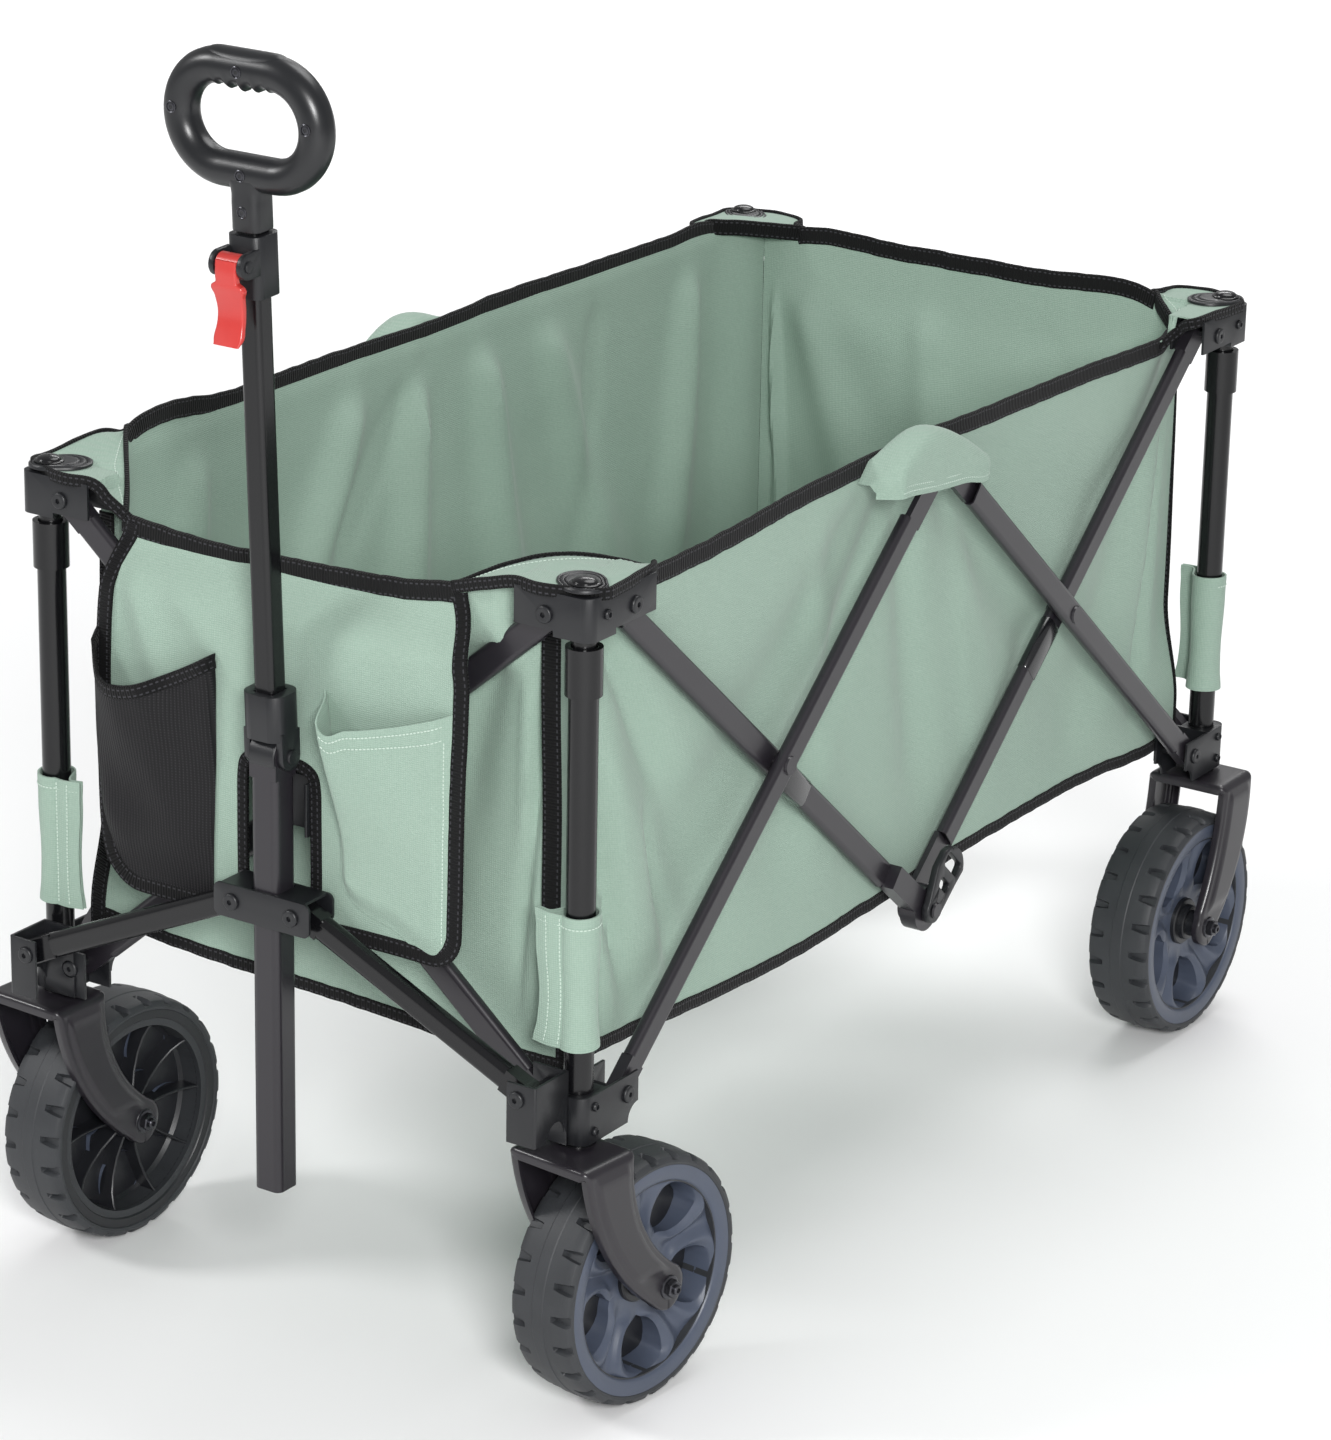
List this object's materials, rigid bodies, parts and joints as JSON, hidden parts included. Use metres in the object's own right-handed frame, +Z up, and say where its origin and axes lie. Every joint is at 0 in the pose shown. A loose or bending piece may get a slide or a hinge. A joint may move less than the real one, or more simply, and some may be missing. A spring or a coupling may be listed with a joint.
{
  "type": "folding wagon",
  "caption": "Folding wagon with a scissor-bar steel frame, fabric basket with front pockets, swivelling front wheels and a telescoping pull handle with a loop grip.",
  "frame": {"origin": "on the floor, under the middle of the whole object's bounding box, wagon open", "axes": "+Z up, -Y towards the pull handle, +X to the wagon's right-hand side, seen from behind the handle looking along +Y"},
  "size_m": [0.5454, 1.0033, 0.9145],
  "materials": {
    "frame_steel": "satin powder coat",
    "moulded_black": "fine-grained moulded plastic",
    "wheel_centre": "moulded slate-grey plastic",
    "tyre_rubber": "moulded",
    "green_fabric": "woven polyester twill",
    "red_lever": "moulded"
  },
  "bodies": {
    "base_fr": {"lower_post_fr": "frame_steel", "bottom_bracket_fr": "frame_steel"},
    "caster_fr": {"fork_fr": "frame_steel"},
    "wheel_fr": {"wheel_hub_fr": "wheel_centre", "tyre_fr": "tyre_rubber"},
    "top_fr": {"upper_post_fr": "frame_steel", "top_bracket_fr": "frame_steel", "front_wall": "green_fabric", "pocket_apron": "green_fabric"},
    "base_fl": {"lower_post_fl": "frame_steel", "bottom_bracket_fl": "frame_steel"},
    "caster_fl": {"fork_fl": "frame_steel"},
    "wheel_fl": {"wheel_hub_fl": "wheel_centre", "tyre_fl": "tyre_rubber"},
    "top_fl": {"upper_post_fl": "frame_steel", "top_bracket_fl": "frame_steel"},
    "base_rr": {"lower_post_rr": "frame_steel", "bottom_bracket_rr": "frame_steel", "fork_rr": "frame_steel"},
    "wheel_rr": {"wheel_hub_rr": "wheel_centre", "tyre_rr": "tyre_rubber"},
    "top_rr": {"upper_post_rr": "frame_steel", "top_bracket_rr": "frame_steel", "rear_wall": "green_fabric"},
    "base_rl": {"lower_post_rl": "frame_steel", "bottom_bracket_rl": "frame_steel", "fork_rl": "frame_steel"},
    "wheel_rl": {"wheel_hub_rl": "wheel_centre", "tyre_rl": "tyre_rubber"},
    "top_rl": {"upper_post_rl": "frame_steel", "top_bracket_rl": "frame_steel"},
    "bar_right_front_low": {"side_bar_right_front_rising": "frame_steel"},
    "bar_right_front_high": {"side_bar_right_front_falling": "frame_steel"},
    "bar_right_rear_low": {"side_bar_right_rear_rising": "frame_steel"},
    "bar_right_rear_high": {"side_bar_right_rear_falling": "frame_steel"},
    "lock_right": {"lock_lever_right": "moulded_black"},
    "fabric_right": {"side_wall_right": "green_fabric"},
    "floor_right": {"floor_right": "green_fabric"},
    "bar_left_front_low": {"side_bar_left_front_rising": "frame_steel"},
    "bar_left_front_high": {"side_bar_left_front_falling": "frame_steel"},
    "bar_left_rear_low": {"side_bar_left_rear_rising": "frame_steel"},
    "bar_left_rear_high": {"side_bar_left_rear_falling": "frame_steel"},
    "lock_left": {"lock_lever_left": "moulded_black"},
    "fabric_left": {"side_wall_left": "green_fabric"},
    "floor_left": {"floor_left": "green_fabric"},
    "bar_front_outer": {"end_bar_front_outer": "frame_steel"},
    "bar_front_inner": {"end_bar_front_inner": "frame_steel"},
    "bar_rear_outer": {"end_bar_rear_outer": "frame_steel"},
    "bar_rear_inner": {"end_bar_rear_inner": "frame_steel"},
    "guide": {"mast_guide": "frame_steel"},
    "link_right": {"lower_link_right": "frame_steel"},
    "link_left": {"lower_link_left": "frame_steel"},
    "mast": {"mast_bracket": "frame_steel", "mast_tube": "frame_steel"},
    "handle": {"handle_yoke": "moulded_black", "handle_outer_tube": "frame_steel", "lever_collar": "moulded_black"},
    "handle_slider": {"handle_inner_tube": "frame_steel", "handle_grip": "moulded_black"},
    "lever": {"cam_lever": "red_lever"}
  },
  "joints": [
    {"name": "fold", "type": "hinge", "parent": "base_fr", "child": "bar_right_front_low", "pos_m": [0.227, -0.3804, 0.227], "axis": [1, 0, 0], "range_deg": [0, 37.5], "deforming": ["side_wall_right", "side_wall_left", "front_wall", "rear_wall", "pocket_apron", "floor_right", "floor_left"]},
    {"name": "right_front_cross", "type": "hinge", "parent": "bar_right_front_low", "child": "bar_right_front_high", "pos_m": [0.221, -0.1804, 0.3985], "axis": [1, 0, 0], "range_deg": [-75, 0]},
    {"name": "right_centre_low", "type": "hinge", "parent": "bar_right_front_high", "child": "bar_right_rear_high", "pos_m": [0.215, 0.0196, 0.227], "axis": [1, 0, 0], "range_deg": [0, 75]},
    {"name": "right_rear_cross", "type": "hinge", "parent": "bar_right_rear_high", "child": "bar_right_rear_low", "pos_m": [0.221, 0.2196, 0.3985], "axis": [1, 0, 0], "range_deg": [-75, 0]},
    {"name": "right_fabric_hang", "type": "hinge", "parent": "bar_right_front_low", "child": "fabric_right", "pos_m": [0.227, 0.0196, 0.57], "axis": [1, 0, 0], "range_deg": [-37.5, 0]},
    {"name": "right_floor_fold", "type": "hinge", "parent": "fabric_right", "child": "floor_right", "pos_m": [0.202, 0.0196, 0.254], "axis": [0, 1, 0], "range_deg": [0, 74.25]},
    {"name": "lock_right_turn", "type": "hinge", "parent": "bar_right_front_high", "child": "lock_right", "pos_m": [0.2322, 0.0196, 0.227], "axis": [1, 0, 0], "range_deg": [0, 60]},
    {"name": "left_front_low", "type": "hinge", "parent": "base_fl", "child": "bar_left_front_low", "pos_m": [-0.227, -0.3804, 0.227], "axis": [1, 0, 0], "range_deg": [0, 37.5]},
    {"name": "left_front_cross", "type": "hinge", "parent": "bar_left_front_low", "child": "bar_left_front_high", "pos_m": [-0.221, -0.1804, 0.3985], "axis": [1, 0, 0], "range_deg": [-75, 0]},
    {"name": "left_centre_low", "type": "hinge", "parent": "bar_left_front_high", "child": "bar_left_rear_high", "pos_m": [-0.215, 0.0196, 0.227], "axis": [1, 0, 0], "range_deg": [0, 75]},
    {"name": "left_rear_cross", "type": "hinge", "parent": "bar_left_rear_high", "child": "bar_left_rear_low", "pos_m": [-0.221, 0.2196, 0.3985], "axis": [1, 0, 0], "range_deg": [-75, 0]},
    {"name": "left_fabric_hang", "type": "hinge", "parent": "bar_left_front_low", "child": "fabric_left", "pos_m": [-0.227, 0.0196, 0.57], "axis": [1, 0, 0], "range_deg": [-37.5, 0]},
    {"name": "left_floor_fold", "type": "hinge", "parent": "fabric_left", "child": "floor_left", "pos_m": [-0.202, 0.0196, 0.254], "axis": [0, 1, 0], "range_deg": [-74.25, 0]},
    {"name": "lock_left_turn", "type": "hinge", "parent": "bar_left_front_high", "child": "lock_left", "pos_m": [-0.2322, 0.0196, 0.227], "axis": [1, 0, 0], "range_deg": [0, 60]},
    {"name": "top_fr_pivot", "type": "hinge", "parent": "bar_right_front_high", "child": "top_fr", "pos_m": [0.215, -0.3804, 0.57], "axis": [1, 0, 0], "range_deg": [0, 37.5]},
    {"name": "base_rr_pivot", "type": "hinge", "parent": "bar_right_rear_low", "child": "base_rr", "pos_m": [0.227, 0.4196, 0.227], "axis": [1, 0, 0], "range_deg": [0, 37.5]},
    {"name": "top_rr_pivot", "type": "hinge", "parent": "bar_right_rear_high", "child": "top_rr", "pos_m": [0.215, 0.4196, 0.57], "axis": [1, 0, 0], "range_deg": [-37.5, 0]},
    {"name": "front_outer_low", "type": "hinge", "parent": "base_fr", "child": "bar_front_outer", "pos_m": [0.2, -0.4229, 0.227], "axis": [0, 1, 0], "range_deg": [0, 37.5]},
    {"name": "front_cross", "type": "hinge", "parent": "bar_front_outer", "child": "bar_front_inner", "pos_m": [0, -0.4169, 0.3985], "axis": [0, 1, 0], "range_deg": [-75, 0]},
    {"name": "base_fl_pivot", "type": "hinge", "parent": "bar_front_inner", "child": "base_fl", "pos_m": [-0.2, -0.4109, 0.227], "axis": [0, 1, 0], "range_deg": [0, 37.5]},
    {"name": "top_fl_pivot", "type": "hinge", "parent": "bar_front_outer", "child": "top_fl", "pos_m": [-0.2, -0.4229, 0.57], "axis": [0, 1, 0], "range_deg": [-37.5, 0]},
    {"name": "rear_outer_low", "type": "hinge", "parent": "base_rr", "child": "bar_rear_outer", "pos_m": [0.2, 0.4621, 0.227], "axis": [0, 1, 0], "range_deg": [0, 37.5]},
    {"name": "rear_cross", "type": "hinge", "parent": "bar_rear_outer", "child": "bar_rear_inner", "pos_m": [0, 0.4561, 0.3985], "axis": [0, 1, 0], "range_deg": [-75, 0]},
    {"name": "base_rl_pivot", "type": "hinge", "parent": "bar_rear_inner", "child": "base_rl", "pos_m": [-0.2, 0.4501, 0.227], "axis": [0, 1, 0], "range_deg": [0, 37.5]},
    {"name": "top_rl_pivot", "type": "hinge", "parent": "bar_rear_outer", "child": "top_rl", "pos_m": [-0.2, 0.4621, 0.57], "axis": [0, 1, 0], "range_deg": [-37.5, 0]},
    {"name": "guide_rivet", "type": "hinge", "parent": "bar_front_outer", "child": "guide", "pos_m": [0, -0.4169, 0.3985], "axis": [0, 1, 0], "range_deg": [-37.5, 0]},
    {"name": "link_right_outer", "type": "hinge", "parent": "base_fr", "child": "link_right", "pos_m": [0.208, -0.4569, 0.248], "axis": [0, 1, 0], "range_deg": [0, 54.68]},
    {"name": "link_right_inner", "type": "hinge", "parent": "link_right", "child": "mast", "pos_m": [0.025, -0.4569, 0.332], "axis": [0, 1, 0], "range_deg": [-54.68, 0]},
    {"name": "link_left_inner", "type": "hinge", "parent": "mast", "child": "link_left", "pos_m": [-0.025, -0.4569, 0.332], "axis": [0, 1, 0], "range_deg": [-54.68, 0]},
    {"name": "caster_fr_swivel", "type": "hinge", "parent": "base_fr", "child": "caster_fr", "pos_m": [0.221, -0.4169, 0.205], "axis": [0, 0, 1], "continuous": true},
    {"name": "wheel_fr_spin", "type": "hinge", "parent": "caster_fr", "child": "wheel_fr", "pos_m": [0.22623, -0.36717, 0.09], "axis": [0.9945, -0.1045, 0], "continuous": true},
    {"name": "caster_fl_swivel", "type": "hinge", "parent": "base_fl", "child": "caster_fl", "pos_m": [-0.221, -0.4169, 0.205], "axis": [0, 0, 1], "continuous": true},
    {"name": "wheel_fl_spin", "type": "hinge", "parent": "caster_fl", "child": "wheel_fl", "pos_m": [-0.21838, -0.36697, 0.09], "axis": [0.9986, -0.0523, 0], "continuous": true},
    {"name": "wheel_rr_spin", "type": "hinge", "parent": "base_rr", "child": "wheel_rr", "pos_m": [0.2254, 0.4116, 0.09], "axis": [1, 0, 0], "continuous": true},
    {"name": "wheel_rl_spin", "type": "hinge", "parent": "base_rl", "child": "wheel_rl", "pos_m": [-0.2254, 0.4116, 0.09], "axis": [1, 0, 0], "continuous": true},
    {"name": "handle_tilt", "type": "hinge", "parent": "mast", "child": "handle", "pos_m": [0, -0.4569, 0.44], "axis": [1, 0, 0], "range_deg": [0, 80]},
    {"name": "handle_slide", "type": "slide", "parent": "handle", "child": "handle_slider", "axis": [0, -0.0419, 0.9991], "range_m": [0, 0.22]},
    {"name": "lever_clamp", "type": "hinge", "parent": "handle", "child": "lever", "pos_m": [0, -0.49316, 0.77978], "axis": [-1, 0, 0], "range_deg": [0, 100]}
  ],
  "couplings": [
    {"joint": "right_front_cross", "follows": "fold", "ratio": -2},
    {"joint": "right_centre_low", "follows": "fold", "ratio": 2},
    {"joint": "right_rear_cross", "follows": "fold", "ratio": -2},
    {"joint": "right_fabric_hang", "follows": "fold", "ratio": -1},
    {"joint": "right_floor_fold", "follows": "fold", "ratio": 1.98},
    {"joint": "left_front_low", "follows": "fold", "ratio": 1},
    {"joint": "left_front_cross", "follows": "fold", "ratio": -2},
    {"joint": "left_centre_low", "follows": "fold", "ratio": 2},
    {"joint": "left_rear_cross", "follows": "fold", "ratio": -2},
    {"joint": "left_fabric_hang", "follows": "fold", "ratio": -1},
    {"joint": "left_floor_fold", "follows": "fold", "ratio": -1.98},
    {"joint": "top_fr_pivot", "follows": "fold", "ratio": 1},
    {"joint": "base_rr_pivot", "follows": "fold", "ratio": 1},
    {"joint": "top_rr_pivot", "follows": "fold", "ratio": -1},
    {"joint": "front_outer_low", "follows": "fold", "ratio": 1},
    {"joint": "front_cross", "follows": "fold", "ratio": -2},
    {"joint": "base_fl_pivot", "follows": "fold", "ratio": 1},
    {"joint": "top_fl_pivot", "follows": "fold", "ratio": -1},
    {"joint": "rear_outer_low", "follows": "fold", "ratio": 1},
    {"joint": "rear_cross", "follows": "fold", "ratio": -2},
    {"joint": "base_rl_pivot", "follows": "fold", "ratio": 1},
    {"joint": "top_rl_pivot", "follows": "fold", "ratio": -1},
    {"joint": "guide_rivet", "follows": "fold", "ratio": -1},
    {"joint": "link_right_outer", "follows": "fold", "ratio": 1.4581},
    {"joint": "link_right_inner", "follows": "fold", "ratio": -1.4581},
    {"joint": "link_left_inner", "follows": "fold", "ratio": -1.4581}
  ]
}
